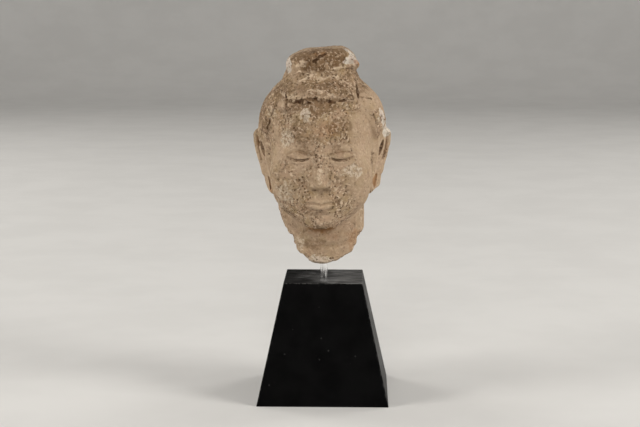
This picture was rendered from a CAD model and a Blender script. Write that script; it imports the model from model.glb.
# %% [markdown]
# # A stucco head on a museum plinth
#
# The object has three pieces: a broken head of lime stucco with its hair tied up in a bun, the polished steel
# rod that holds it up, and a black painted block that tapers. Stucco is modelled wet, by laying on pads of
# plaster and cutting them back, so this script works the same way. It lays pads on each other as formulas,
# wraps a mesh round them, and then wears that mesh down. The rod and the block keep the shapes that they
# already have in the frame, and get their finish from nodes.

# %% Load the frame
import math

import bmesh
import bpy
import numpy as np
from mathutils import Matrix, Vector


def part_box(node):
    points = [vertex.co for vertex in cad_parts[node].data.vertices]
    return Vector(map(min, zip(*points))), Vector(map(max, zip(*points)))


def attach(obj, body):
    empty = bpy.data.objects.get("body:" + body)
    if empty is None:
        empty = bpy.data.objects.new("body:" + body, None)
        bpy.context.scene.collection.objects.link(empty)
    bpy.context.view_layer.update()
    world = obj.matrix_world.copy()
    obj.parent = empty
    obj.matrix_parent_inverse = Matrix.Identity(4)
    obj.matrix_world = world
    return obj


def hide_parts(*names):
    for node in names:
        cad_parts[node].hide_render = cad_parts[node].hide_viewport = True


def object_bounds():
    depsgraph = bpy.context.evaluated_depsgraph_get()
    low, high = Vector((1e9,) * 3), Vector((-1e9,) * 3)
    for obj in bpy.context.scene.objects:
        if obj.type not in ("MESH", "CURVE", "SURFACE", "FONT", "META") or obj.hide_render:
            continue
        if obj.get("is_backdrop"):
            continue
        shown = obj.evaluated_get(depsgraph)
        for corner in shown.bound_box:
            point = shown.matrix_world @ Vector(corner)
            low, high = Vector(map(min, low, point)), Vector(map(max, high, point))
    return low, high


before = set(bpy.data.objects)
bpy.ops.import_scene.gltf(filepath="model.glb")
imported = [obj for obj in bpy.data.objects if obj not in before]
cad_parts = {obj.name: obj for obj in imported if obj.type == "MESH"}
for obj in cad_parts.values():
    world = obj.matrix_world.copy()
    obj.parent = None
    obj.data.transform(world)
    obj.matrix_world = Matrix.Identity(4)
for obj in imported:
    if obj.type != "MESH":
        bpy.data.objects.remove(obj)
cad_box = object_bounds()
MM = 0.001
scene = bpy.context.scene
print("pieces in the frame:", sorted(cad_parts))
print("whole object in mm:", [round((high - low) / MM, 1) for low, high in zip(*cad_box)])

# %% [markdown]
# ## The camera
#
# A sculpture on a plinth is seen a little from above, from far enough away that its sides look upright. The
# camera stands 1.6 m off with a long lens, just right of the middle, and looks slightly down.

# %% Place the camera
CAMERA_PLACE = Vector((0.038, -1.604, 0.422))
CAMERA_DOWN = math.radians(8.09)
CAMERA_LEFT = math.radians(1.508)
SENSOR_WIDTH = 36.0
FOCAL_LENGTH = 85.33
lens = bpy.data.cameras.new("camera")
lens.sensor_width = SENSOR_WIDTH
lens.lens = FOCAL_LENGTH
camera = bpy.data.objects.new("camera", lens)
scene.collection.objects.link(camera)
camera.location = CAMERA_PLACE
camera.rotation_euler = (math.radians(90.0) - CAMERA_DOWN, 0.0, CAMERA_LEFT)
scene.camera = camera
print("camera height in mm:", round(CAMERA_PLACE.z / MM))

# %% [markdown]
# ## Clay tools
#
# Each pad of clay is a function that gives the distance from points to its surface, below 0 inside it. Such
# forms blend without a seam, which boolean modifiers can't do: `lay` adds a pad with a soft join, `cut`
# takes one away and `keep` trims to a limit. All of this works in millimetres, in the head's own frame: X to
# its left, -Y out of the face, Z up and the chin at 0.

# %% Shapes and blends
def ball(p, centre, radii, turn=0.0):
    """An ellipsoid, turned about Z by so many degrees."""
    q = p - np.array(centre, np.float32)
    if turn:
        c, s = math.cos(math.radians(turn)), math.sin(math.radians(turn))
        q = np.stack([c * q[:, 0] + s * q[:, 1], c * q[:, 1] - s * q[:, 0], q[:, 2]], axis=1)
    r = np.array(radii, np.float32)
    near = np.linalg.norm(q / r, axis=1)
    slope = np.linalg.norm(q / (r * r), axis=1)
    return near * (near - 1.0) / np.maximum(slope, 1e-6)


def rope(p, spine, radii):
    """A rope along the spine, with a radius at each of its points."""
    nearest = np.full(len(p), 1e6, np.float32)
    for a, b, ra, rb in zip(spine[:-1], spine[1:], radii[:-1], radii[1:]):
        a, b = np.array(a, np.float32), np.array(b, np.float32)
        along = np.clip((p - a) @ (b - a) / np.dot(b - a, b - a), 0.0, 1.0)
        reach = np.linalg.norm(p - a - along[:, None] * (b - a), axis=1)
        nearest = np.minimum(nearest, reach - ra - (rb - ra) * along)
    return nearest


def rounded(side, end, rounding):
    """What lies inside both the side and the end surface, with the edge between them rounded."""
    side, end = side + rounding, end + rounding
    return np.hypot(np.maximum(side, 0), np.maximum(end, 0)) + np.minimum(np.maximum(side, end), 0) - rounding


def drum(p, centre, radii, half, rounding):
    """An upright drum of oval plan."""
    q = p - np.array(centre, np.float32)
    side = (np.hypot(q[:, 0] / radii[0], q[:, 1] / radii[1]) - 1.0) * min(radii)
    return rounded(side, np.abs(q[:, 2]) - half, rounding)


def lay(form, pad, width):
    """Adds a pad of clay, blended over a width."""
    h = np.clip(0.5 + 0.5 * (pad - form) / width, 0.0, 1.0)
    return pad * (1 - h) + form * h - width * h * (1 - h)


def cut(form, tool, width):
    """Carves a shape away, with its edge rounded over a width."""
    return -lay(-form, tool, width)


def keep(form, limit, width):
    """Keeps what lies inside a limit."""
    return -lay(-form, -limit, width)


def curve(points, cuts=3):
    """More rows along a smooth curve through the given ones."""
    rows = np.array(points, np.float32)
    rows = np.vstack([2 * rows[0] - rows[1], rows, 2 * rows[-1] - rows[-2]])
    t = np.linspace(0.0, 1.0, cuts, endpoint=False)[:, None]
    parts = [b + 0.5 * t * (c - a + t * (2 * a - 5 * b + 4 * c - d + t * (3 * (b - c) + d - a)))
             for a, b, c, d in zip(rows[:-3], rows[1:-2], rows[2:-1], rows[3:])]
    return np.vstack([*parts, rows[-2]])


def bead(p, points):
    """A smooth rope through places that each have their own radius."""
    rows = curve(points)
    return rope(p, rows[:, :3], rows[:, 3])


def bump(d, width):
    """1 on a line, fading to 0 over a width."""
    return np.exp(-((d / width) ** 2))


def ramp(x, low, high):
    """0 below low, 1 above high and smooth between."""
    t = np.clip((x - low) / (high - low), 0.0, 1.0)
    return t * t * (3 - 2 * t)


def stroke(u, v, points, width):
    """A line drawn through points on a face with coordinates u and v, fading over a width."""
    flat = np.stack([u, v, np.zeros_like(u)], axis=1)
    return bump(bead(flat, [(*point, 0.0, 0.0) for point in points]), width)


def noise(p, size, seed=0):
    """Smooth noise from -1 to 1, with lumps of about the given size."""
    q = p / size
    cell = np.floor(q)
    q = q - cell
    q = q * q * (3 - 2 * q)
    cell = cell.astype(np.int64)
    total = np.zeros(len(p), np.float32)
    for corner in np.ndindex(2, 2, 2):
        x, y, z = (cell + corner).T
        code = (x * 374761393 + y * 668265263 + z * 1442695041 + seed * 97531) & 0xFFFFFFFF
        code = ((code ^ (code >> 13)) * 1274126177) & 0xFFFFFFFF
        value = ((code ^ (code >> 16)) & 0xFFFF) / 32767.5 - 1.0
        weight = np.where(corner, q, 1 - q).prod(axis=1)
        total += (value * weight).astype(np.float32)
    return total


# %% [markdown]
# ## The face
#
# The face is a general one on the sculptor's canon: seven eyes high and five eyes wide, with the eyes half
# way up the skull. It is built as a beginner in clay would build it, from the skull to the cheeks and chin,
# and then the lids over their eyeballs, the nose and the closed lips.

# %% Canon of the head
EYE = 22.4
HALF_WIDTH = 2.5 * EYE
CROWN = 7.0 * EYE
EYE_LINE = 3.5 * EYE
NOSE_BASE = 2.0 * EYE
MOUTH_LINE = NOSE_BASE * 2.0 / 3.0
MOUTH_HALF = 0.78 * EYE
print("head from chin to crown in mm:", round(CROWN, 1))


# %% Skull, eyes, nose and mouth
def skull(p, m):
    """The skull with its forehead, cheeks and chin."""
    form = ball(p, (0, 8, 94), (HALF_WIDTH, 71, CROWN - 94))
    form = lay(form, ball(p, (0, -21, 104), (45, 41, 35)), 14)
    form = lay(form, ball(p, (0, -12, 57), (50, 49.5, 48)), 14)
    form = lay(form, ball(p, (0, -22, 29.5), (41, 40, 30)), 14)
    form = lay(form, ball(p, (0, -45.5, 11), (17, 16.5, 11.3)), 14)
    form = lay(form, ball(m, (29, -37, 58), (21, 18.5, 19)), 18)
    return lay(form, ball(m, (33, -30, 40), (14, 18, 18)), 14)


def eyes(form, m):
    """Lowered lids over an eyeball in a socket, with the brow as the socket's upper edge."""
    form = cut(form, ball(m, (EYE + 2.0, -70.5, EYE_LINE + 1.0), (23.5, 13.6, 15.0), 16), 3.5)
    form = lay(form, ball(m, (EYE + 1.0, -46.5, EYE_LINE - 14), (16, 10, 9)), 10)
    form = lay(form, ball(m, (EYE * 0.98, -47.2, EYE_LINE - 0.5), (18.5, 13.2, 12.8), 14), 4.5)
    across = (m[:, 0] - EYE) / (0.56 * EYE)
    arch = np.clip(1 - across * across, 0, 1)
    height = m[:, 2] - EYE_LINE + 0.8 + 3.0 * arch - 0.6 * across
    crease = 1.2 + 7.6 * arch
    arch = arch ** 0.7
    upper_lid = 1.8 * arch * ramp(height, -0.3, 1.2) * (1 - ramp(height / crease, 0.45, 1.0))
    crease_line = -1.5 * arch * bump(height - crease, 1.6)
    parting = -1.3 * bump(height + 0.5, 1.2) * (1 - ramp(np.abs(across), 0.8, 1.1))
    lower_lid = 1.0 * arch * bump(height + 3.0, 1.6)
    return form - (upper_lid + crease_line + parting + lower_lid) * ramp(-m[:, 1], 30, 40)


def nose(form, p, m):
    """The bridge and its sides, the tip, the wings and the nostrils."""
    bridge = [(0, -57.5, 90, 5.4), (0, -60.5, 80, 4.8), (0, -66.5, 64, 5.2), (0, -70.5, 52, 5.9)]
    form = lay(form, ball(m, (6.5, -56.5, 62), (6.5, 7.5, 15)), 6)
    form = lay(form, ball(m, (7.5, -58.5, 57), (5.5, 7.0, 8)), 5)
    form = lay(form, bead(p, bridge), 5.0)
    form = lay(form, ball(p, (0, -70.8, 51.5), (6.6, 6.4, 5.8)), 3)
    form = lay(form, ball(m, (7.9, -63.5, 49.6), (4.4, 7.6, 5.2)), 2.5)
    form = cut(form, ball(m, (5.4, -65.6, 44.2), (2.2, 3.6, 1.6)), 1.2)
    return lay(form, rope(p, [(0, -61, 45), (0, -69, 46.6)], [1.6, 1.8]), 1.5)


def mouth(form, p, m):
    """Closed lips: their relief is worked out from the line between them and their two edges."""
    form = lay(form, ball(p, (0, -47, MOUTH_LINE + 2), (23, 16.5, 16)), 10)
    x, z = m[:, 0], p[:, 2]
    s = np.clip(x / MOUTH_HALF, 0, 1)
    line = MOUTH_LINE - 0.8 * bump(x, 3.5) + 0.4 * bump(x - 7.5, 4.0) - 0.5 * s ** 4
    fullness = np.sqrt(1 - s * s)
    above = np.clip((z - line) / np.maximum(6.6 * fullness - 1.3 * bump(x, 2.8), 0.8), 0, 1)
    under = np.clip((line - z) / np.maximum(8.4 * fullness, 0.8), 0, 1)
    lips = 12.5 * above * (1 - above) ** 1.5 + 15.0 * under * (1 - under) ** 1.5
    inside = 1 - ramp(x, MOUTH_HALF - 1, MOUTH_HALF + 2)
    corner = bump(np.hypot(x - MOUTH_HALF, z - MOUTH_LINE), 3.0)
    relief = lips * fullness - 0.9 * bump(z - line, 1.4) * inside - 1.0 * corner
    form = form - relief * ramp(-p[:, 1], 40, 50)
    form = cut(form, ball(p, (0, -66.8, MOUTH_LINE + 10.5), (2.3, 3.0, 4.6)), 3.5)
    return cut(form, ball(p, (0, -68.3, 16.0), (12, 6.5, 3.2)), 5)


def face(form, p, m):
    """The eyes, the nose and the mouth on the front of the skull."""
    return mouth(nose(eyes(form, m), p, m), p, m)


# %% [markdown]
# ## Ears
#
# Long ear lobes with a slit are traditional for such heads. An ear could be modelled as a sheet with
# extruded folds, but here it is a slab that leans out, and its rim, its bowl and its slit are relief on the
# slab's face. The end of the left lobe is lost, so a slanted limit breaks it off.

# %% Ears
EAR_TURN = math.radians(28.0)
SIDEBURN = [(46.5, -20, 120, 5.5), (51, -13.5, 108, 7.0), (53.5, -4, 88, 6.2), (54, 0, 66, 5.2),
            (50.5, 0, 48, 4.0), (45, 0, 34, 2.5)]


def ear_slab(p, m, u, w):
    """The slab with its folds. The left lobe is broken at a slant, and the right one is whole."""
    z = m[:, 2]
    flat = np.stack([u, z, np.zeros_like(u)], axis=1)
    broken_lobe = ball(flat, (14.6, 39, 0), (11.4, 24, 19))
    whole_lobe = ball(flat, (13.5, 46.5, 0), (9.8, 21, 19))
    lobe = np.where(p[:, 0] > 0, broken_lobe, whole_lobe)
    outline = lay(ball(flat, (16, 77, 0), (13.5, 20, 20)), lobe, 8)
    slab = rounded(outline, np.abs(w + 4.0) - 6.0, 2.8)
    rim = [(8, 77), (5, 84), (8.5, 91), (15, 94), (22.5, 91), (26.6, 82), (26.2, 71), (23.5, 60), (20.5, 50)]
    folds = 2.4 * ramp(u, 1, 14) * stroke(u, z, rim, 2.6)
    folds -= 2.2 * stroke(u, z, [(11, 88.5), (17, 88.5), (21.3, 84), (22, 76), (20.8, 66)], 2.2)
    folds += 1.4 * stroke(u, z, [(13, 86), (16.5, 80), (17, 72), (14.5, 65), (9.5, 63)], 2.4)
    folds += 1.2 * bump(np.hypot((u - 3.8) / 2.6, (z - 70) / 4.5), 1.0)
    slab = lay(slab - folds * ramp(w, -4.0, 0.0), ball(m, (49, 4, 30), (6.5, 8, 9)), 4)
    stump = 0.51 * (p[:, 0] - 62.0) - 0.86 * (z - 36.0) + 0.6 * noise(p, 7.0, 5)
    return np.where(p[:, 0] > 0, keep(slab, stump, 2), keep(slab, 28.5 - z, 6))


def ears(form, p, m):
    """Both ears with the hair before them, and their bowls, grooves and slits."""
    near = np.nonzero((m[:, 0] > 30) & (np.abs(p[:, 1]) < 45) & (np.abs(p[:, 2] - 72) < 64))[0]
    if len(near):
        p, m, part = p[near], m[near], lay(form[near], bead(m[near], SIDEBURN), 6)
        z = m[:, 2]
        x = m[:, 0] - 51.5 - 0.17 * (z - 54) - 0.0026 * np.maximum(z - 72, 0) ** 2
        y = m[:, 1] + 3.0 - 0.1 * (z - 62)
        u = math.sin(EAR_TURN) * x + math.cos(EAR_TURN) * y
        w = math.cos(EAR_TURN) * x - math.sin(EAR_TURN) * y
        ear = np.stack([u, z, w], axis=1)
        part = lay(part, ear_slab(p, m, u, w), 2.0)
        part = cut(part, ball(ear, (10, 77.5, 3.0), (3.8, 8.0, 6.8)), 2.0)
        part = cut(part, ball(ear, (21.8, 78.5, 3.2), (1.8, 7.5, 3.8)), 1.5)
        left = cut(part, rope(ear, [(11.3, 47, 2.6), (10.3, 38, 2.6)], [2.7, 2.9]), 1.5)
        right = cut(part, rope(ear, [(10.5, 46, 2.2), (9.5, 36, 2.2)], [1.7, 2.0]), 1.5)
        right = cut(right, ball(ear, (18, 84.5, 2.5), (4.2, 5.6, 4.8)), 1.5)
        form[near] = np.where(p[:, 0] > 0, left, right)
    return form


# %% [markdown]
# ## Hair
#
# The hair is combed up without separate locks. It swells from its border over the skull, a broken slab of
# plaster stands out over the brow, and a bun sits on top. The bun is worn away at its right.

# %% Hair, slab and bun
def hair(p):
    """Swept-up hair that swells from its border, a broken slab over the brow and a round bun."""
    cap = lay(ball(p, (0.5, 8, 96), (69, 78, 67)), ball(p, (0, 22, 70), (60, 62, 52)), 12)
    temple = np.maximum(p[:, 1] + 1.0, p[:, 2] - 92.0)
    squarish = (np.abs(p - np.array((0, -75, 67), np.float32)) / np.array((90, 70, 68), np.float32)) ** 2.6
    opening = lay((squarish.sum(axis=1) ** (1 / 2.6) - 1.0) * 68.0, temple, 14)
    nape = 44.0 - p[:, 2] - 0.30 * (p[:, 1] - 40)
    border = np.minimum(opening, -nape)
    swelling = 2.0 + 7.5 * ramp(np.abs(p[:, 0]), 22, 46)
    cap = cap + swelling * np.exp(-np.maximum(border, 0.0) / 7.0)
    cap = keep(cut(cap, opening, 2.5), nape, 2.5)
    wear = noise(p, 9.0, 1)
    slab = ball(p, (0, 8, 97), (70.5, 79.5, 68.5))
    slab = keep(slab, np.abs(p[:, 0]) - 37.0 + wear, 4)
    slab = keep(slab, 0.93 * (138.0 - p[:, 2]) - 0.37 * (p[:, 1] + 58) + 1.8 * wear, 3)
    slab = keep(slab, p[:, 1] - 20.0, 5)
    form = lay(lay(cap, slab, 3.0), ball(p, (0, -36, 127.8), (43, 21, 12)), 4)
    form = lay(form, drum(p, (0, 0, 156), (35, 32), 16, 6), 12)
    bun = drum(p, (1.7, 0, 171), (37.6, 35.5), 15.6, 13)
    bun = lay(bun, ball(p, (33.0, -8, 167.5), (7.2, 16, 5.0)), 4)
    bun = keep(bun, 0.99 * (p[:, 2] - 183.5) - 0.10 * p[:, 0], 6)
    bun = keep(bun, 0.78 * (p[:, 2] - 180.0) - 0.62 * (p[:, 0] + 26.5), 6)
    bun = keep(bun, 0.71 * (p[:, 2] - 182.5) + 0.71 * (p[:, 0] - 30.0), 7)
    return lay(form, bun, 3.0) - 0.8 * noise(p, 16.0, 2)


# %% [markdown]
# ## Neck and breaks
#
# The neck has one soft fold across the throat. Below it the stucco is broken away, and the break is left as
# it is. Slanted limits cut the neck back, and their edges are made uneven with noise.

# %% Neck and its break
def neck(p):
    """A thick oval neck with one soft fold."""
    side = (np.hypot((p[:, 0] + 1.7) / 46.0, (p[:, 1] - 14) / 41.0) - 1.0) * 43.0
    fold_line = p[:, 2] + 23 - 0.10 * (p[:, 1] + 27) - 0.06 * p[:, 0] - 0.002 * p[:, 0] ** 2
    fold = np.hypot(side - 0.4, fold_line) - 0.6
    return cut(keep(side, p[:, 2] - 55, 4), fold, 5)


def breaks(form, p):
    """The neck's old break: an oblique stump with a notch at its left."""
    x, y, z = p.T
    rough = 1.5 * noise(p, 13.0, 3) + 0.7 * noise(p, 6.0, 4) + 1.1 * noise(p, 4.0, 6)
    stump = np.hypot(x - 3.5, z + 4) - 37.3
    form = keep(form, -0.872 * (x + 42.5) - 0.49 * (z - 2) + rough, 4)
    form = keep(form, np.minimum(stump, -13.8 - z) + rough, 4)
    return keep(form, 0.78 * (y - 18) - 0.627 * (z + 41) + 2 * rough, 6)


# %% [markdown]
# ## Cracks and ridges
#
# Stucco cracks where its pads meet. The cracks are thin ropes that are carved out, the pale ridges of lime
# under the bun are ropes that are laid on, and small balls chip the slab's edge. They are real shape, because
# a crack that is only painted disappears from the side. Each is planned as places across and up, and is
# then laid on the clay where a line from the front meets it.

# %% Plan the cracks and the ridges
CRACKS = [
    ([(-6.5, 171.5), (-3.5, 173.8), (-1.5, 174.6)], [0.9, 1.4, 0.7]),
    ([(-2, 175.6), (0.8, 177.4), (3, 178)], [0.6, 1.3, 0.9]),
    ([(4, 179), (7, 180.6), (10.5, 181.6)], [1.1, 0.9, 0.5]), ([(-5, 176.5), (-3, 179)], [0.7, 0.5]),
    ([(22, 175.5), (23, 171), (24, 167)], [0.6, 0.9, 0.7]),
    ([(-5, 172), (-3, 169), (-4, 166)], [0.9, 0.6, 0.4]),
    ([(37.5, 150), (38, 145), (38.5, 140), (39, 135)], [0.6, 1.2, 1.8, 1.5]),
    ([(39, 135), (45, 134), (49, 132.5), (53, 132)], [1.1, 0.7, 0.9, 1.3]),
    ([(-33, 146), (-34, 140), (-34.3, 136)], [0.4, 0.8, 0.9]),
    ([(-30, 133.5), (-24, 133), (-17, 133), (-10, 133)], [0.8, 1.2, 2.2, 0.8]),
    ([(-6, 136.5), (-3, 137), (1, 134)], [0.8, 1.1, 1.1]),
    ([(8, 134), (11, 132.5), (15, 132.5)], [0.7, 1.1, 0.9]),
    ([(19, 133.5), (24, 135), (29, 136)], [0.8, 1.0, 1.2]),
    ([(-46, 127), (-50, 118), (-53, 110), (-55.5, 101), (-57, 93)], [0.6, 0.7, 0.9, 0.9, 0.5]),
    ([(45, 118), (50, 116), (55, 115)], [0.2, 0.3, 0.2]),
    ([(54.5, 118), (56, 113), (57.7, 106), (58.6, 98), (58.8, 91)], [0.2, 0.4, 0.5, 0.3, 0.1]),
]
RIDGES = [
    ([(-21, 152), (-14, 154), (-9, 156), (-7, 160)], [0.7, 1.5, 1.4, 0.8]),
    ([(-14, 159), (-10, 160.5), (-5, 162)], [0.9, 1.4, 0.9]),
    ([(-26, 158.5), (-20, 161)], [0.8, 1.2]), ([(-3, 155), (4, 154.5), (10, 157)], [0.8, 1.3, 0.9]),
    ([(16, 157.5), (18, 154.5)], [1.0, 0.9]), ([(13, 163.5), (18, 165), (22, 166.5)], [0.7, 1.3, 0.8]),
    ([(-24, 166.5), (-18, 169.5)], [1.2, 1.4]), ([(-20, 172), (-15, 171)], [0.9, 1.2]),
    ([(20, 152), (27, 150), (31, 147)], [0.6, 1.0, 0.7]), ([(-40, 141), (-34, 138)], [0.7, 0.9]),
    ([(-12, 143), (-4, 145), (3, 143)], [0.6, 1.1, 0.7]), ([(10, 139.5), (15, 137.5)], [0.9, 1.1]),
]
CHIPS = [((-17, 133.5), (4.2, 4.0, 2.3)), ((-26, 133), (1.8, 2.2, 1.2)), ((32, 137), (3.4, 4.5, 3.0)),
         ((53, 132), (2.0, 2.5, 1.6)), ((-34, 134), (1.1, 1.5, 1.0)), ((1, 177.5), (1.8, 2.2, 1.3))]


def sound_clay(p):
    """The whole head without its cracks and ridges."""
    m = p.copy()
    m[:, 0] = np.abs(p[:, 0])
    form = skull(p, m)
    front = np.nonzero(p[:, 1] < -20)[0]
    if len(front):
        form[front] = face(form[front], p[front], m[front])
    form = lay(lay(form, neck(p), 7), hair(p), 2.5)
    return breaks(ears(form, p, m), p)


FRONT = -100.0
MARCH_STEPS = 60
MARCH_SHARE = 0.7
LONGEST_MARCH = 8.0


def from_front(places):
    """Where lines from the front meet the clay, for places across and up."""
    points = np.array([(x, FRONT, z) for x, z in places], np.float32)
    for _ in range(MARCH_STEPS):
        points[:, 1] += MARCH_SHARE * np.clip(sound_clay(points), 0.0, LONGEST_MARCH)
    return points


# %% Lay them on the clay
crack_ropes = [(from_front(places), radii) for places, radii in CRACKS]
ridge_ropes = [(from_front(places) + (0, 0.5, 0), radii) for places, radii in RIDGES]
chip_balls = [(from_front([place])[0], radii) for place, radii in CHIPS]


def wander(p):
    """Points shifted a little, so that straight tools leave uneven marks."""
    return p + 1.1 * np.stack([noise(p, 4.5, seed) for seed in (21, 22, 23)], axis=1)


def clay(p):
    """The whole head."""
    form = sound_clay(p)
    near = np.nonzero((form < 6.0) & (p[:, 2] > 85) & (p[:, 1] < 5))[0]
    if len(near):
        q, part = wander(p[near]), form[near]
        crumble = noise(p[near], 3.0, 24)
        for spine, radii in ridge_ropes:
            part = lay(part, rope(q, spine, radii) + 0.9 * crumble, 1.2)
        for spine, radii in crack_ropes:
            part = cut(part, rope(q, spine, radii) + 0.4 * crumble, 0.8)
        for centre, radii in chip_balls:
            part = cut(part, ball(q, centre, radii), 1.0)
        form[near] = part
    return form


print("cracks, ridges and chips:", len(crack_ropes), len(ridge_ropes), len(chip_balls))

# %% [markdown]
# ## From clay to mesh
#
# A rough-out of plain balls is wrapped by the Remesh modifier in even quads. Each vertex then slides down the
# slope of the clay until it lies on it. Doing this from coarse to fine keeps the quads even, and the last two
# rounds use the final grain. An even grain can't be fine enough for both a cheek and a crack, so the faces
# are then cut in four where they bend sharply, and again along the cracks and ridges, and pulled onto the
# clay.

# %% Rough out, remesh and pull
TETRAHEDRON = np.array([(1, -1, -1), (-1, -1, 1), (-1, 1, -1), (1, 1, 1)], np.float32)


def pull_onto(mesh, form, steps, most):
    """Moves each vertex down the form's slope until it lies on the form."""
    flat = np.empty(len(mesh.vertices) * 3, np.float32)
    mesh.vertices.foreach_get("co", flat)
    p = flat.reshape(-1, 3)
    reach = 0.1
    for _ in range(steps):
        values = [form(p + reach * corner) for corner in TETRAHEDRON]
        slope = sum(v[:, None] * corner for v, corner in zip(values, TETRAHEDRON)) / (4 * reach)
        steep = np.maximum((slope * slope).sum(axis=1), 0.1)
        move = np.clip(sum(values) / 4.0 / steep, -most, most)
        p = (p - move[:, None] * slope).astype(np.float32)
    mesh.vertices.foreach_set("co", p.ravel())
    mesh.update()


def rough_out():
    """The head's masses as plain balls."""
    masses = [
        ((0, 8, 98), (71, 80, 74)), ((0, -20, 42), (52, 52, 50)), ((0, 14, 0), (48, 46, 52)),
        ((0, 0, 168), (42, 38, 24)), ((58, 10, 58), (19, 22, 44)), ((-58, 10, 58), (19, 22, 44)),
        ((64, 16, 84), (14, 18, 18)), ((-64, 16, 84), (14, 18, 18)), ((0, -62, 60), (11, 22, 24)),
    ]
    bm = bmesh.new()
    for centre, radii in masses:
        place = Matrix.Translation(centre) @ Matrix.Diagonal((*radii, 1.0))
        bmesh.ops.create_icosphere(bm, subdivisions=4, radius=1.0, matrix=place)
    mesh = bpy.data.meshes.new("rough_out")
    bm.to_mesh(mesh)
    bm.free()
    return mesh


def remeshed(mesh, voxel):
    """The mesh wrapped afresh in even faces of about the voxel's size."""
    obj = bpy.data.objects.new("clay", mesh)
    bpy.context.scene.collection.objects.link(obj)
    modifier = obj.modifiers.new("voxels", "REMESH")
    modifier.mode = "VOXEL"
    modifier.voxel_size = voxel
    bpy.context.view_layer.update()
    graph = bpy.context.evaluated_depsgraph_get()
    result = bpy.data.meshes.new_from_object(obj.evaluated_get(graph))
    bpy.data.objects.remove(obj)
    return result


def at_bends(bm):
    """The vertices where the faces bend by more than a limit."""
    return {vert for edge in bm.edges if edge.calc_face_angle(0.0) > BEND for vert in edge.verts}


def on_lines(bm):
    """The vertices on the cracks and the ridges."""
    p = wander(np.array([vert.co for vert in bm.verts], np.float32))
    reach = np.min([rope(p, spine, radii) for spine, radii in crack_ropes + ridge_ropes], axis=0)
    return {vert for vert, distance in zip(bm.verts, reach) if distance < LINE_REACH}


def refined(mesh, pick):
    """The mesh with the faces round the picked vertices cut in four."""
    bm = bmesh.new()
    bm.from_mesh(mesh)
    faces = {face for vert in pick(bm) for face in vert.link_faces}
    edges = [edge for edge in bm.edges if any(face in faces for face in edge.link_faces)]
    bmesh.ops.subdivide_edges(bm, edges=edges, cuts=1, use_grid_fill=True)
    result = bpy.data.meshes.new("refined_clay")
    bm.to_mesh(result)
    bm.free()
    return result


GRAIN = 1.5
BEND = math.radians(24.0)
LINE_REACH = 0.6
ROUNDS = [(3.0, 8, 3.0), (2.0, 5, 1.5), (GRAIN, 3, GRAIN), (GRAIN, 2, 0.5 * GRAIN)]
REFINE_ROUND = (3, 0.4 * GRAIN)
head_mesh = rough_out()
for size, steps, most in ROUNDS:
    head_mesh = remeshed(head_mesh, size)
    pull_onto(head_mesh, clay, steps, most)
print("faces with an even grain:", len(head_mesh.polygons))
for pick in (at_bends, on_lines):
    head_mesh = refined(head_mesh, pick)
    pull_onto(head_mesh, clay, *REFINE_ROUND)
print("faces with fine detail:", len(head_mesh.polygons))

# %% [markdown]
# ## Erosion
#
# Old stucco is pitted where weak plaster fell out and gritty where sand stands proud. A displacement
# modifier would do for plain noise, but pits are round and keep apart, so the vertices are moved along their
# normals in code: broad unevenness, then grit, then pits in a loose grid of cells. The temples, the neck and
# the ears stayed smoother, the hair and parts of the face crumble, and the break is the roughest.

# %% Smooth, crumbling and broken zones
def pits(p, size, share, radius, seed):
    """How deep each point lies in the nearest of scattered round pits: 0 outside and 1 at the middle."""
    home = np.floor(p / size).astype(np.int64)
    depth = np.zeros(len(p), np.float32)
    for step in np.ndindex(3, 3, 3):
        cell = home + (np.array(step) - 1)
        code = (cell[:, 0] * 73856093) ^ (cell[:, 1] * 19349663) ^ (cell[:, 2] * 83492791) ^ (seed * 2654435)
        code = ((code & 0xFFFFFFFF) * 2246822519) & 0xFFFFFFFF
        code = ((code ^ (code >> 15)) * 3266489917) & 0xFFFFFFFF
        parts = [((code >> shift) & 0xFF) / 255.0 for shift in (0, 8, 16, 24)]
        middle = (cell + np.stack(parts[:3], axis=1)) * size
        reach = np.linalg.norm(p - middle, axis=1) / (radius * (0.6 + 0.4 * parts[0]))
        depth = np.maximum(depth, np.where(parts[3] < share, np.clip(1 - reach * reach, 0, 1), 0))
    return depth.astype(np.float32)


def spread(p, places, size, seed, widest=1.15, fade=0.45):
    """The strongest of some patches at each point. Each fades out at its radii times widest."""
    border = 0.35 * noise(p, size, seed) + 0.2 * noise(p, size / 2.5, seed + 1)
    total = np.zeros(len(p), np.float32)
    for centre, radii, strength in places:
        reach = np.linalg.norm((p - np.array(centre)) / np.array(radii), axis=1)
        total = np.maximum(total, strength * ramp(widest - reach + border, 0.0, fade))
    return total


# Each patch has its centre and its radii in mm, and how strong it is
SMOOTH = [
    ((46, -40, 96), (16, 30, 40), 1.0), ((44, -46, 52), (13, 22, 26), 0.9),
    ((20, -66, 118), (14, 12, 12), 0.35), ((-22, -52, 146), (12, 14, 8), 0.6),
    ((52, 0, 130), (16, 30, 22), 0.75), ((14, -40, 10), (26, 26, 14), 0.6),
    ((12, -24, -14), (34, 20, 20), 0.85), ((44, -20, 14), (18, 20, 22), 1.0),
    ((42, -8, -4), (14, 20, 22), 0.9), ((62, 8, 66), (16, 20, 40), 1.0), ((-62, 8, 66), (12, 20, 40), 0.9),
    ((-22, -60, 76), (14, 14, 9), 0.9), ((22, -60, 76), (14, 14, 9), 0.8), ((0, 60, 80), (50, 40, 60), 0.4),
    ((-20, -60, 86), (13, 14, 7), 0.8), ((20, -60, 86), (13, 14, 7), 0.8),
    ((0, -76, 56), (10, 14, 18), 0.6), ((-45, -30, 104), (10, 14, 12), 0.7),
    ((0, -74, 28), (19, 14, 10), 0.7), ((30, -62, 48), (15, 16, 20), 0.62),
    ((-24, -66, 66), (12, 14, 10), 0.45),
]
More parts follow.
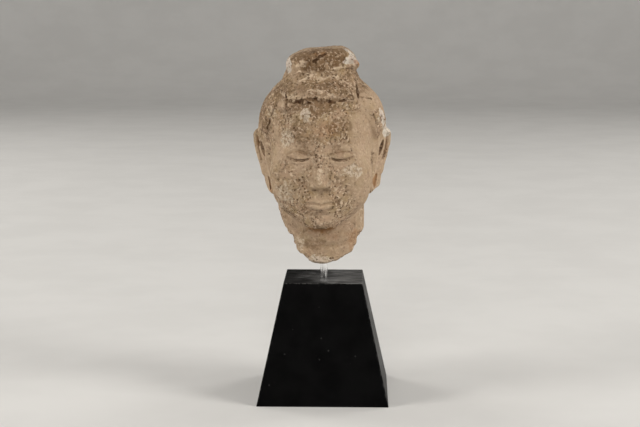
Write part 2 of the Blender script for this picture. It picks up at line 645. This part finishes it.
CRUMBLING = [
    ((0, -36, 158), (34, 16, 8), 1.0), ((0, -52, 134), (38, 12, 5), 0.8),
    ((-52, -20, 124), (14, 24, 18), 0.8), ((18, -50, 146), (18, 12, 8), 0.8),
    ((-28, -24, 172), (10, 16, 8), 0.7), ((-33, -62, 46), (18, 18, 18), 0.6),
    ((-10, -70, 12), (22, 20, 12), 0.7), ((-25, -56, 114), (20, 14, 12), 0.6),
    ((0, -72, 94), (10, 12, 10), 0.4), ((-30, -50, 92), (14, 14, 8), 0.4),
    ((-40, -40, 10), (16, 20, 22), 0.8), ((34, -60, 56), (10, 14, 9), 0.25),
    ((-54, -4, 124), (20, 34, 34), 1.0), ((-38, -52, 60), (14, 16, 16), 0.7),
]


def neck_break(p):
    """How much of the skin is broken face: 1 well inside the neck's whole surface, and 0 on it."""
    side = (np.hypot((p[:, 0] + 1.7) / 46.0, (p[:, 1] - 14) / 41.0) - 1.0) * 43.0
    inside = ramp(-side - 0.4 * noise(p, 5.0, 8), 1.5, 4.5)
    return inside * ramp(6.0 - p[:, 2], 0, 8) * ramp(p[:, 1], -30, -24)


# %% Move the surface
def erosion(p):
    """The height of the skin above the clay in mm, and the shares of roughness, break and pit."""
    smooth, broken = spread(p, SMOOTH, 9.0, 51, widest=1.3, fade=0.8), neck_break(p)
    crumbling = np.maximum(spread(p, CRUMBLING, 6.0, 53), broken)
    rough = np.maximum(0.25 + 0.75 * ramp(noise(p, 22.0, 9) + 0.3 - 1.2 * smooth, -0.4, 0.4), crumbling)
    height = 0.4 * noise(p, 12.0, 11) + (0.15 + 0.25 * rough) * noise(p, 6.0, 12)
    height += rough * (0.34 * noise(p, 3.6, 13) + 0.2 * noise(p, 2.6, 14))
    height += crumbling * (0.6 * noise(p, 5.0, 15) + 0.35 * noise(p, 3.2, 16))
    height += broken * (1.1 * noise(p, 8.0, 17) + 0.6 * noise(p, 4.5, 18))
    hole = np.maximum(pits(p, 6.5, 0.22, 1.7, 19), 0.8 * pits(p, 4.2, 0.24, 1.2, 20)) * ramp(rough, 0.3, 0.6)
    return height - 1.2 * hole, rough, broken, hole


flat = np.empty(len(head_mesh.vertices) * 3, np.float32)
head_mesh.vertices.foreach_get("co", flat)
clay_points = flat.reshape(-1, 3).copy()
normals = np.empty_like(flat)
head_mesh.vertices.foreach_get("normal", normals)
normals = normals.reshape(-1, 3)
height, rough, broken, hole = erosion(clay_points)
points = (clay_points + height[:, None] * normals).astype(np.float32)
head_mesh.vertices.foreach_set("co", points.ravel())
head_mesh.update()
print("skin moved by", round(float(height.min()), 2), "to", round(float(height.max()), 2), "mm")

# %% [markdown]
# ## What the colours will follow
#
# Dirt gathers in hollows, edges rub pale, white plaster shows in patches and iron stains the slits. Each of
# these is a share from 0 to 1 that is stored on the vertices, so that the material can break up its borders
# with finer noise. How hollow a place is comes from the clay itself: a little way out along the normal, open
# ground is as far from the surface as the step that was taken, and a hollow is nearer. Three lengths of step
# find slits, sockets and broad dips.

# %% Measure hollows and edges
def off_surface(reach):
    """The distance back to the clay after a step along the normals, as a share of the step."""
    return clay((clay_points + reach * normals).astype(np.float32)) / reach


HOLLOW_STEPS = (2.2, 6.0, 11.0)
close_hollow, wide_hollow, far_hollow = [np.clip(1.0 - off_surface(step), 0, 1) for step in HOLLOW_STEPS]
below_nose = bump(np.linalg.norm(clay_points - np.array((0, -64, NOSE_BASE)), axis=1), 10.0)
hollow = np.clip(1.1 * close_hollow + 0.55 * wide_hollow + 0.2 * far_hollow, 0, 1) * (1 - 0.8 * below_nose)
edge = np.clip(1.0 - off_surface(-2.5) + 0.5 * np.clip(1.0 - off_surface(-7.0), 0, 1), 0, 1)
print("hollow and edge on average:", round(float(hollow.mean()), 3), round(float(edge.mean()), 3))

# %% Lay out plaster, lime, soil and stains
# Each patch has its centre and its radii in mm, and how strong it is
PLASTER = [
    ((-35.5, -14, 170), (9, 18, 10.5), 1.0), ((36, -18, 177), (8, 12, 10), 1.0),
    ((29, -26, 172), (6, 7, 4.5), 0.9), ((65.5, -14, 111), (8, 13, 16), 0.9),
    ((69.5, 10, 95), (6, 17, 11), 0.9), ((-24, -24, -22), (8, 12, 16), 0.68),
    ((-4, -24, -37), (22, 14, 7), 0.76), ((46, -6, 4), (7, 14, 22), 0.66),
    ((-38, -54, 38), (13, 18, 15), 0.68), ((-44, -44, 24), (9, 16, 12), 0.64),
    ((32, -60, 62), (13, 16, 10), 0.72), ((-35, -50, 96), (14, 14, 12), 0.7),
    ((-15, -62, 121), (9, 12, 7), 0.74), ((-35, -44, 122), (5, 8, 4), 0.66),
    ((-30, -53, 113), (8, 8, 5), 0.6), ((-51, -26, 121), (9, 12, 9), 0.6),
    ((0, -78, 62), (4, 12, 14), 0.64), ((-55, -36, 62), (5, 10, 14), 0.6),
    ((56, 44, 92), (14, 24, 20), 0.6), ((-44, 58, 120), (16, 18, 18), 0.58),
    ((6, 84, 70), (24, 16, 16), 0.56), ((-70, 2, 70), (4, 10, 34), 0.58),
    ((20, 50, 150), (18, 18, 14), 0.55), ((-22, -34, 168), (9, 10, 5), 0.64),
    ((12, -38, 160), (20, 10, 6), 0.52), ((14, -56, 140), (18, 8, 6), 0.54),
    ((31, -12, 184), (8, 14, 5), 0.95),
]
SOIL = [
    ((0, -36, 177), (44, 24, 15), 1.0), ((2, -36, 180), (8, 8, 4), 1.0),
    ((-44, -28, 148), (18, 24, 18), 0.65), ((24, -64, 108), (18, 12, 14), 0.5),
    ((-6, -56, 128), (30, 12, 7), 0.75), ((-2, -48, -4), (34, 26, 8), 1.0),
    ((18, -62, 84), (8, 12, 8), 0.45), ((-16, -62, 84), (6, 12, 8), 0.5), ((34, -66, 38), (12, 14, 8), 0.4),
    ((-20, -66, 18), (12, 12, 10), 0.5), ((-8, -32, -20), (16, 12, 8), 0.55),
    ((0, 40, 168), (34, 26, 12), 0.6), ((-30, 66, 60), (24, 20, 26), 0.5),
    ((34, 62, 100), (20, 20, 16), 0.45), ((0, 34, 6), (40, 30, 26), 0.5),
    ((4, -46, 146), (36, 22, 14), 0.55), ((-58, 0, 118), (16, 30, 26), 0.5),
    ((34, -16, 148), (24, 24, 14), 0.55), ((-14, -60, 104), (22, 14, 14), 0.35),
    ((-18, -30, 184), (20, 20, 8), 0.5),
]
RUST = [
    ((57, 4, 42), (4, 7, 9), 1.0), ((71, 14, 76), (4, 9, 12), 0.9), ((62, 3, 78), (3, 6, 9), 0.6),
    ((-54, -1, 38), (5, 7, 10), 0.8), ((-69, 15, 85), (4, 8, 7), 0.6), ((-60, 0, 78), (4, 7, 10), 0.6),
    ((38, -16, -18), (12, 14, 12), 0.5), ((38.5, -20, 169.5), (4, 9, 4.5), 0.9),
    ((3, -38, 181), (11, 7, 4), 0.9), ((-28, -44, 3), (10, 12, 7), 0.4),
    ((-2, -46, -3), (31, 23, 6.5), 0.85), ((14, -36, -12), (14, 12, 7), 0.35),
    ((8, -64, 106), (12, 10, 8), 0.3),
]
ridge_line = np.min([rope(wander(clay_points), spine, radii) for spine, radii in ridge_ropes], axis=0)
ridge_line += 0.9 * noise(clay_points, 3.0, 24)
crack_line = np.min([rope(wander(clay_points), spine, radii) for spine, radii in crack_ropes], axis=0)
crack_line += 0.5 * noise(clay_points, 3.5, 61)
in_ears = ramp(np.abs(clay_points[:, 0]), 54, 60) * ramp(clay_points[:, 2], 30, 36)
hollow = np.clip(hollow * (1 + 0.2 * in_ears), 0, 1)
stain = spread(clay_points, RUST, 5.0, 41) * (1 - in_ears * (1 - ramp(hollow, 0.1, 0.5)))
masks = {
    "hollow": hollow, "rubbed_edge": edge, "pitted": hole, "roughness_zone": rough, "fresh_break": broken,
    "white_plaster": spread(clay_points, PLASTER, 7.0, 31), "soil": spread(clay_points, SOIL, 8.0, 35),
    "rust_stain": stain, "lime_ridge": ramp(-ridge_line, -1.4, 0.4),
    "crack": ramp(-crack_line, -0.6, 0.9),
}
for name, values in masks.items():
    layer = head_mesh.attributes.new(name, "FLOAT", "POINT")
    layer.data.foreach_set("value", np.clip(values, 0, 1).astype(np.float32))
    print(name, "covers", round(100 * float((values > 0.5).mean()), 1), "%")

# %% [markdown]
# ## Socket and place
#
# The rod goes into the neck, so the head gets a real blind hole, cut by a boolean, and the mesh is moved from
# the head's own frame to its place above the plinth: a small nod and a small lean.

# %% Drill the socket and set the head in place
CHIN_HEIGHT = 0.187
HEAD_SHIFT = (-0.0015, -0.006)
HEAD_ROLL = math.radians(0.6)
HEAD_NOD = math.radians(2.5)
SOCKET_GAP = 0.0003
DRILL_START = 0.01
rod_low, rod_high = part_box("support_rod")
place = (Matrix.Translation((*HEAD_SHIFT, CHIN_HEIGHT)) @ Matrix.Rotation(-HEAD_ROLL, 4, "Y")
         @ Matrix.Rotation(HEAD_NOD, 4, "X") @ Matrix.Scale(MM, 4))
head_mesh.transform(place)
carved = bpy.data.objects.new("carved_head", head_mesh)
scene.collection.objects.link(carved)
drill = bmesh.new()
socket_radius = (rod_high.x - rod_low.x) / 2 + SOCKET_GAP
socket_top = rod_high.z + SOCKET_GAP
socket_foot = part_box("head")[0].z - DRILL_START
bmesh.ops.create_cone(drill, cap_ends=True, segments=48, radius1=socket_radius, radius2=socket_radius,
                      depth=socket_top - socket_foot,
                      matrix=Matrix.Translation((0, 0, (socket_top + socket_foot) / 2)))
drill_mesh = bpy.data.meshes.new("drill")
drill.to_mesh(drill_mesh)
drill.free()
bit = bpy.data.objects.new("drill", drill_mesh)
scene.collection.objects.link(bit)
hole_cut = carved.modifiers.new("socket", "BOOLEAN")
hole_cut.object = bit
bpy.context.view_layer.update()
final_mesh = bpy.data.meshes.new_from_object(carved.evaluated_get(bpy.context.evaluated_depsgraph_get()))
bpy.data.objects.remove(carved)
bpy.data.objects.remove(bit)
final_mesh.name = "carved_head"
final_mesh.shade_smooth()
stucco_head = bpy.data.objects.new("carved_head", final_mesh)
scene.collection.objects.link(stucco_head)
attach(stucco_head, "root")
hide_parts("head")
print("triangles in the head:", sum(len(face.vertices) - 2 for face in final_mesh.polygons))

# %% [markdown]
# ## Node helpers
#
# Materials are node trees. A few small helpers keep the cells short: `node` adds a node and fills its sockets
# from plain values or from other nodes' outputs, `blend` mixes two colours, `group` starts a node group with
# named sockets, and `use` places one.

# %% Helpers for nodes
def fill(tree, socket, value):
    """Links a socket to another node's output, or gives it a plain value."""
    if isinstance(value, bpy.types.NodeSocket):
        tree.links.new(value, socket)
    else:
        socket.default_value = value


def node(tree, kind, *values, **settings):
    """Adds a node; the values fill its inputs in order, and None leaves one alone."""
    made = tree.nodes.new("ShaderNode" + kind)
    for name, setting in settings.items():
        setattr(made, name, setting)
    for socket, value in zip(made.inputs, values):
        if value is not None:
            fill(tree, socket, value)
    return made


def maths(tree, operation, *values):
    """The result of a Math node."""
    return node(tree, "Math", *values, operation=operation).outputs[0]


def blend(tree, share, first, second):
    """Mixes two colours by a share."""
    made = node(tree, "Mix", data_type="RGBA")
    for name, value in (("Factor_Float", share), ("A_Color", first), ("B_Color", second)):
        socket = next(s for s in made.inputs if s.identifier == name)
        fill(tree, socket, (*value, 1.0) if isinstance(value, tuple) else value)
    return next(s for s in made.outputs if s.identifier == "Result_Color")


def soft_step(tree, value, low, high):
    """0 below low and 1 above high, with a soft change between."""
    return node(tree, "MapRange", value, low, high, interpolation_type="SMOOTHSTEP").outputs[0]


def group(name, inputs, outputs):
    """An empty node group with its named sockets, and its two end nodes."""
    made = bpy.data.node_groups.new(name, "ShaderNodeTree")
    for socket, (kind, value) in inputs.items():
        item = made.interface.new_socket(socket, in_out="INPUT", socket_type="NodeSocket" + kind)
        if value is not None:
            item.default_value = value
    for socket, kind in outputs.items():
        made.interface.new_socket(socket, in_out="OUTPUT", socket_type="NodeSocket" + kind)
    return made, made.nodes.new("NodeGroupInput").outputs, made.nodes.new("NodeGroupOutput").inputs


def use(tree, name, **values):
    """Places a group in a tree and fills its sockets by name."""
    made = tree.nodes.new("ShaderNodeGroup")
    made.node_tree = bpy.data.node_groups[name]
    for key, value in values.items():
        fill(tree, made.inputs[key], value)
    return made.outputs


def new_material(name, roughness, metallic=0.0):
    """A material with its shader, and coordinates in millimetres."""
    made = bpy.data.materials.new(name)
    made.use_nodes = True
    tree = made.node_tree
    shader = tree.nodes["Principled BSDF"]
    shader.inputs["Roughness"].default_value = roughness
    shader.inputs["Metallic"].default_value = metallic
    spot = tree.nodes.new("ShaderNodeTexCoord").outputs["Object"]
    mapping = node(tree, "Mapping", spot)
    mapping.inputs["Scale"].default_value = (1 / MM,) * 3
    return made, tree, shader, mapping.outputs[0]


# %% [markdown]
# ## Shared effects
#
# Effects that more than one finish uses are groups that are built once. `clouds` gives soft patches of a
# chosen size, `grains` gives irregular specks, `pinholes` gives round dots that keep apart, and `streaks`
# gives fine lines along one direction, as a brush or a polishing cloth leaves them.

# %% Build the groups
GRAIN_BORDER = 0.07
STREAK_BORDER = 0.12
EMPTY_CELLS = 0.35
tree, given, out = group("clouds", {"Place": ("Vector", None), "Size": ("Float", 30.0),
                                    "Seed": ("Float", 0.0)}, {"Mask": "Float"})
cloud = node(tree, "TexNoise", given["Place"], given["Seed"], maths(tree, "DIVIDE", 1.0, given["Size"]),
             3.0, 0.6, noise_dimensions="4D").outputs["Fac"]
tree.links.new(soft_step(tree, cloud, 0.36, 0.64), out["Mask"])

tree, given, out = group("grains", {"Place": ("Vector", None), "Size": ("Float", 3.0),
                                    "Rarity": ("Float", 0.6), "Seed": ("Float", 0.0)}, {"Mask": "Float"})
specks = node(tree, "TexNoise", given["Place"], given["Seed"], maths(tree, "DIVIDE", 1.0, given["Size"]),
              4.0, 0.58, noise_dimensions="4D").outputs["Fac"]
full = maths(tree, "ADD", given["Rarity"], GRAIN_BORDER)
tree.links.new(soft_step(tree, specks, given["Rarity"], full), out["Mask"])

tree, given, out = group("pinholes", {"Place": ("Vector", None), "Spacing": ("Float", 4.0),
                                      "Width": ("Float", 0.3)}, {"Mask": "Float"})
shaken = node(tree, "TexNoise", given["Place"], None, 0.7, 1.0).outputs["Color"]
shaken = node(tree, "VectorMath", shaken, (0.9, 0.9, 0.9), operation="MULTIPLY").outputs[0]
shaken = node(tree, "VectorMath", given["Place"], shaken, operation="ADD").outputs[0]
cells = node(tree, "TexVoronoi", shaken, None, maths(tree, "DIVIDE", 1.0, given["Spacing"])).outputs
chance = node(tree, "SeparateXYZ", cells["Color"]).outputs
width = maths(tree, "MULTIPLY", given["Width"], chance[0])
dots = soft_step(tree, maths(tree, "SUBTRACT", width, cells["Distance"]), -0.04, 0.06)
filled = maths(tree, "GREATER_THAN", chance[1], EMPTY_CELLS)
tree.links.new(maths(tree, "MULTIPLY", dots, filled), out["Mask"])

tree, given, out = group("streaks", {"Place": ("Vector", None), "Stretch": ("Vector", (1.0, 1.0, 1.0)),
                                     "Rarity": ("Float", 0.55)}, {"Mask": "Float"})
pulled = node(tree, "VectorMath", given["Place"], given["Stretch"], operation="MULTIPLY").outputs[0]
lines = node(tree, "TexNoise", pulled, None, 1.0, 3.0, 0.6).outputs["Fac"]
full = maths(tree, "ADD", given["Rarity"], STREAK_BORDER)
tree.links.new(soft_step(tree, lines, given["Rarity"], full), out["Mask"])
print("groups:", sorted(g.name for g in bpy.data.node_groups))

# %% [markdown]
# ## Weathered stucco
#
# Lime stucco is a warm tan where earth has soaked in, with dark grit and pale crumbs of lime, white where
# fresh plaster shows and brown in its hollows. The colours are laid over each other as a restorer would paint
# them, from the broad tone to the smallest specks, and the same masks raise and lower a fine bump.

# %% Broad tones of the stucco
TAN = (0.345, 0.228, 0.134)
OCHRE = (0.315, 0.215, 0.105)
PINK = (0.40, 0.255, 0.175)
GREY = (0.34, 0.265, 0.18)
CREAM = (0.45, 0.335, 0.235)
LIME = (0.70, 0.54, 0.39)
WHITE = (0.64, 0.60, 0.52)
WARM_WHITE = (0.62, 0.51, 0.44)
PALE = (0.57, 0.45, 0.32)
GRIT = (0.11, 0.06, 0.026)
DEEP = (0.05, 0.018, 0.004)
BROWN = (0.168, 0.098, 0.048)
RUST_BROWN = (0.30, 0.13, 0.035)
stucco, tree, shader, spot = new_material("weathered_stucco", 0.9)
shader.inputs["Specular IOR Level"].default_value = 0.25
mask = {name: node(tree, "Attribute", attribute_name=name).outputs["Fac"] for name in masks}


def weaker(value, amount):
    """A mask made weaker by a factor."""
    return maths(tree, "MULTIPLY", value, amount)


wide = use(tree, "clouds", Place=spot, Size=30.0)["Mask"]
middle = use(tree, "clouds", Place=spot, Size=11.0, Seed=3.0)["Mask"]
small = use(tree, "clouds", Place=spot, Size=4.5, Seed=7.0)["Mask"]
colour = blend(tree, wide, TAN, OCHRE)
colour = blend(tree, weaker(middle, 0.6), colour, PINK)
colour = blend(tree, weaker(small, 0.45), colour, GREY)
kept = maths(tree, "SUBTRACT", 1.0, mask["roughness_zone"])
colour = blend(tree, weaker(kept, 0.5), colour, CREAM)
colour = blend(tree, weaker(mask["fresh_break"], 0.5), colour, CREAM)
soil = soft_step(tree, maths(tree, "MULTIPLY_ADD", small, 0.3, mask["soil"]), 0.2, 1.1)
colour = blend(tree, weaker(soil, 0.92), colour, BROWN)

# %% Grit, crumbs and pinholes
gritty = use(tree, "grains", Place=spot, Size=2.7, Rarity=0.52, Seed=1.0)["Mask"]
crumbs = use(tree, "grains", Place=spot, Size=2.8, Rarity=0.53, Seed=5.0)["Mask"]
dots = use(tree, "pinholes", Place=spot, Spacing=2.8, Width=0.44)["Mask"]
patchy = maths(tree, "MULTIPLY", mask["roughness_zone"], maths(tree, "MULTIPLY_ADD", middle, 0.5, 0.5))
colour = blend(tree, weaker(maths(tree, "MULTIPLY", gritty, patchy), 0.95), colour, GRIT)
limy = maths(tree, "MULTIPLY", crumbs, maths(tree, "MULTIPLY_ADD", patchy, 0.9, 0.1))
limy = maths(tree, "MULTIPLY", limy, maths(tree, "MULTIPLY_ADD", soil, -0.45, 1.0))
colour = blend(tree, weaker(limy, 0.9), colour, LIME)
flaky = maths(tree, "MULTIPLY", mask["lime_ridge"], maths(tree, "MULTIPLY_ADD", small, 0.6, 0.35))
colour = blend(tree, flaky, colour, LIME)

# %% Plaster, rubbed edges, stains and dirt
torn = node(tree, "TexNoise", spot, None, 0.33, 4.0, 0.65).outputs["Fac"]
plaster = soft_step(tree, maths(tree, "MULTIPLY_ADD", torn, 1.7, mask["white_plaster"]), 1.4, 1.62)
plaster_colour = blend(tree, small, WHITE, WARM_WHITE)
thick = soft_step(tree, mask["white_plaster"], 0.6, 0.9)
plaster_colour = blend(tree, thick, PALE, plaster_colour)
plaster_colour = blend(tree, weaker(gritty, 0.5), plaster_colour, BROWN)
colour = blend(tree, weaker(plaster, 0.9), colour, plaster_colour)
rubbed = maths(tree, "MULTIPLY", mask["rubbed_edge"], maths(tree, "MULTIPLY_ADD", soil, -0.6, 1.0))
colour = blend(tree, weaker(rubbed, 0.55), colour, LIME)
colour = blend(tree, weaker(mask["rust_stain"], 0.65), colour, RUST_BROWN)
speck = maths(tree, "MULTIPLY", dots, maths(tree, "MULTIPLY_ADD", mask["roughness_zone"], 0.8, 0.2))
colour = blend(tree, weaker(speck, 0.85), colour, GRIT)
colour = blend(tree, weaker(mask["pitted"], 0.75), colour, GRIT)
dirt = soft_step(tree, mask["hollow"], 0.2, 0.85)
colour = blend(tree, weaker(dirt, 0.75), colour, BROWN)
colour = blend(tree, weaker(soft_step(tree, mask["hollow"], 0.5, 1.0), 0.7), colour, DEEP)
colour = blend(tree, weaker(mask["crack"], 0.9), colour, DEEP)
tree.links.new(colour, shader.inputs["Base Color"])

# %% Fine height and sheen of the stucco
relief = maths(tree, "SUBTRACT", maths(tree, "MULTIPLY", limy, 0.9), maths(tree, "MULTIPLY", gritty, patchy))
relief = maths(tree, "SUBTRACT", relief, maths(tree, "MULTIPLY", speck, 1.2))
sand = node(tree, "TexNoise", spot, None, 1.2, 5.0, 0.7).outputs["Fac"]
relief = maths(tree, "ADD", relief, maths(tree, "MULTIPLY", sand, 1.4))
relief = maths(tree, "MULTIPLY_ADD", plaster, 0.5, relief)
fine_bump = node(tree, "Bump", 0.9, 0.0009, None, relief)
tree.links.new(fine_bump.outputs[0], shader.inputs["Normal"])
tree.links.new(node(tree, "MapRange", plaster, 0.0, 1.0, 0.92, 0.78).outputs[0], shader.inputs["Roughness"])
final_mesh.materials.clear()
final_mesh.materials.append(stucco)
print("nodes in the stucco:", len(tree.nodes))

# %% [markdown]
# ## Black paint
#
# The plinth is a wooden block under satin black paint. Its upright edges are scuffed, its top is dusty with
# brush streaks, and the sides are nearly clean. The block's shape is already right, so only its material
# changes. The wear follows the shape: the paint is worn where a point is close to two faces at once.

# %% Paint the plinth
plinth_low, plinth_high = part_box("plinth")
TOP_HALF = 41.5
base_half = (plinth_high.x - plinth_low.x) / 2 / MM
tall = (plinth_high.z - plinth_low.z) / MM
paint, tree, shader, spot = new_material("black_paint", 0.45)
shader.inputs["Specular IOR Level"].default_value = 0.05
x, y, z = node(tree, "SeparateXYZ", spot).outputs
reach = maths(tree, "MULTIPLY_ADD", z, (TOP_HALF - base_half) / tall, base_half)
from_x = maths(tree, "SUBTRACT", reach, maths(tree, "ABSOLUTE", x))
from_y = maths(tree, "SUBTRACT", reach, maths(tree, "ABSOLUTE", y))
from_top = maths(tree, "SUBTRACT", tall, z)
upright = maths(tree, "MAXIMUM", from_x, from_y)
rim = maths(tree, "MAXIMUM", from_top, maths(tree, "MINIMUM", from_x, from_y))
near_edge = maths(tree, "MINIMUM", upright, rim)
scuffs = use(tree, "streaks", Place=spot, Stretch=(0.5, 0.5, 0.05), Rarity=0.5)["Mask"]
nicks = use(tree, "grains", Place=spot, Size=3.0, Rarity=0.55)["Mask"]
chips = use(tree, "pinholes", Place=spot, Spacing=9.0, Width=0.14)["Mask"]
wear = maths(tree, "SUBTRACT", 1.0, soft_step(tree, near_edge, 0.2, 1.5))
wear = maths(tree, "MULTIPLY", wear, maths(tree, "MAXIMUM", scuffs, nicks))
wear = maths(tree, "MAXIMUM", wear, maths(tree, "MULTIPLY", chips, 0.5))
brush = use(tree, "streaks", Place=spot, Stretch=(0.03, 0.45, 0.5), Rarity=0.5)["Mask"]
fine_brush = use(tree, "streaks", Place=spot, Stretch=(0.05, 1.2, 0.5), Rarity=0.5)["Mask"]
on_top = maths(tree, "SUBTRACT", 1.0, soft_step(tree, from_top, 0.2, 0.8))
wiped = use(tree, "clouds", Place=spot, Size=38.0, Seed=2.0)["Mask"]
to_right = soft_step(tree, maths(tree, "MULTIPLY_ADD", wiped, 24.0, x), -22.0, 22.0)
brushed = maths(tree, "MULTIPLY_ADD", fine_brush, 0.35, maths(tree, "MULTIPLY", brush, 0.65))
settled = maths(tree, "MULTIPLY", on_top, maths(tree, "MULTIPLY_ADD", to_right, 0.85, 0.15))
dusty = maths(tree, "MULTIPLY", brushed, settled)
haze = use(tree, "clouds", Place=spot, Size=26.0)["Mask"]
colour = blend(tree, haze, (0.0008, 0.0008, 0.0009), (0.0018, 0.0018, 0.0019))
colour = blend(tree, dusty, colour, (0.29, 0.29, 0.29))
colour = blend(tree, maths(tree, "MULTIPLY", wear, 0.6), colour, (0.09, 0.088, 0.085))
tree.links.new(colour, shader.inputs["Base Color"])
dull_left = maths(tree, "MULTIPLY", on_top, maths(tree, "SUBTRACT", 1.0, to_right))
gloss = maths(tree, "MULTIPLY_ADD", haze, 0.08, 0.36)
gloss = maths(tree, "MULTIPLY_ADD", dull_left, 0.6, gloss)
gloss = maths(tree, "MULTIPLY_ADD", dusty, 0.12, gloss)
tree.links.new(maths(tree, "MULTIPLY_ADD", wear, 0.2, gloss), shader.inputs["Roughness"])
pulled = node(tree, "VectorMath", spot, (0.05, 0.9, 0.9), operation="MULTIPLY").outputs[0]
strokes = node(tree, "TexNoise", pulled, None, 1.0, 3.0, 0.6).outputs["Fac"]
paint_bump = node(tree, "Bump", 0.15, 0.0003, None, maths(tree, "SUBTRACT", strokes, chips))
tree.links.new(paint_bump.outputs[0], shader.inputs["Normal"])
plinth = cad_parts["plinth"]
plinth.data.materials.clear()
plinth.data.materials.append(paint)
print("plinth half widths in mm:", round(base_half, 1), TOP_HALF)

# %% [markdown]
# ## Polished steel
#
# The rod is bright drawn steel. It mirrors the room in long bands, and close to, it has hair lines along its
# length and a few dull smears, which only change how rough it is.

# %% Polish the rod
steel, tree, shader, spot = new_material("polished_steel", 0.14, 1.0)
hair_lines = use(tree, "streaks", Place=spot, Stretch=(3.0, 3.0, 0.05), Rarity=0.5)["Mask"]
smears = use(tree, "clouds", Place=spot, Size=12.0)["Mask"]
tree.links.new(blend(tree, maths(tree, "MULTIPLY", smears, 0.4), (0.86, 0.86, 0.86), (0.72, 0.72, 0.72)),
               shader.inputs["Base Color"])
dull = maths(tree, "MULTIPLY_ADD", hair_lines, 0.1, 0.12)
tree.links.new(maths(tree, "MULTIPLY_ADD", smears, 0.08, dull), shader.inputs["Roughness"])
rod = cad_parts["support_rod"]
rod.data.materials.clear()
rod.data.materials.append(steel)
print("rod length in mm:", round((rod_high.z - rod_low.z) / MM, 1))

# %% [markdown]
# ## Floor and light
#
# The floor is a wide pale disc whose rim curves up into a wall all round, as a studio's roll of paper does,
# so that no line shows behind the object from any side. Two large soft lights stand at the sides, the right
# one brighter. A weaker one in front and higher up draws the brow, the nose and the lips with soft shade, and
# two more behind, to the right and to the left, lift the outline.

# %% Lay the floor
FLOOR_RADIUS = 4.5
CURVE_RADIUS = 1.5
CURVE_STEPS = 10
WALL_TOP = 4.0
ground = bmesh.new()
bmesh.ops.create_circle(ground, cap_ends=True, segments=96, radius=FLOOR_RADIUS)
rim_edges = [edge for edge in ground.edges if edge.is_boundary]
angles = [math.pi / 2 * step / CURVE_STEPS for step in range(1, CURVE_STEPS + 1)]
heights = [CURVE_RADIUS * (1 - math.cos(angle)) for angle in angles]
reaches = [FLOOR_RADIUS + CURVE_RADIUS * math.sin(angle) for angle in angles]
for height, reach in zip([*heights, WALL_TOP], [*reaches, reaches[-1]]):
    raised = bmesh.ops.extrude_edge_only(ground, edges=rim_edges)["geom"]
    rim = [item for item in raised if isinstance(item, bmesh.types.BMVert)]
    rim_edges = [item for item in raised if isinstance(item, bmesh.types.BMEdge)]
    wider = reach / rim[0].co.xy.length
    bmesh.ops.scale(ground, verts=rim, vec=(wider, wider, 1.0))
    bmesh.ops.translate(ground, verts=rim, vec=(0.0, 0.0, height - rim[0].co.z))
bmesh.ops.recalc_face_normals(ground, faces=ground.faces)
floor_mesh = bpy.data.meshes.new("floor")
ground.to_mesh(floor_mesh)
ground.free()
floor_mesh.shade_smooth()
floor = bpy.data.objects.new("floor", floor_mesh)
scene.collection.objects.link(floor)
floor_paint, tree, shader, spot = new_material("pale_floor", 0.8)
patches = use(tree, "clouds", Place=spot, Size=160.0)["Mask"]
mottled = blend(tree, patches, (0.66, 0.655, 0.645), (0.69, 0.685, 0.675))
tree.links.new(mottled, shader.inputs["Base Color"])
floor_mesh.materials.append(floor_paint)
floor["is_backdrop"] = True
print("floor radius in m:", FLOOR_RADIUS)

# %% Hang the lights
world = bpy.data.worlds.new("room")
scene.world = world
world.use_nodes = True
sky = world.node_tree.nodes["Background"]
sky.inputs["Color"].default_value = (1.0, 0.98, 0.95, 1.0)
sky.inputs["Strength"].default_value = 0.19
# Each light's name, its turn and rise in degrees, its power in watts and its width in metres
LIGHTS = [
    ("key", 64.0, 20.0, 100.0, 1.75),
    ("fill", -66.0, 20.0, 74.0, 1.75),
    ("front", -4.0, 40.0, 38.0, 1.5),
    ("right_rim", 128.0, 24.0, 36.0, 1.5),
    ("left_rim", -128.0, 24.0, 40.0, 1.5),
]
TARGET = Vector((0.0, 0.0, 0.26))
DISTANCE = 3.8
for name, turn, rise, power, size in LIGHTS:
    turn, rise = math.radians(turn), math.radians(rise)
    away = Vector((math.sin(turn) * math.cos(rise), -math.cos(turn) * math.cos(rise), math.sin(rise)))
    lamp = bpy.data.lights.new(name, "AREA")
    lamp.energy = power
    lamp.size = size
    lamp.color = (1.0, 0.97, 0.92)
    holder = bpy.data.objects.new(name, lamp)
    scene.collection.objects.link(holder)
    holder.location = TARGET + DISTANCE * away
    holder.rotation_euler = away.to_track_quat("Z", "Y").to_euler()
scene.view_settings.view_transform = "Standard"
print("lights:", [name for name, *_ in LIGHTS])

# %% [markdown]
# ## Check and finish
#
# The finished object has to keep to the frame's box, so both boxes are written down before the frame is
# closed.

# %% Write the sizes and finish
finished_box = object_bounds()
for name, box in (("frame", cad_box), ("finished", finished_box)):
    print(name, "box in mm:", [round(value / MM, 1) for corner in box for value in corner])
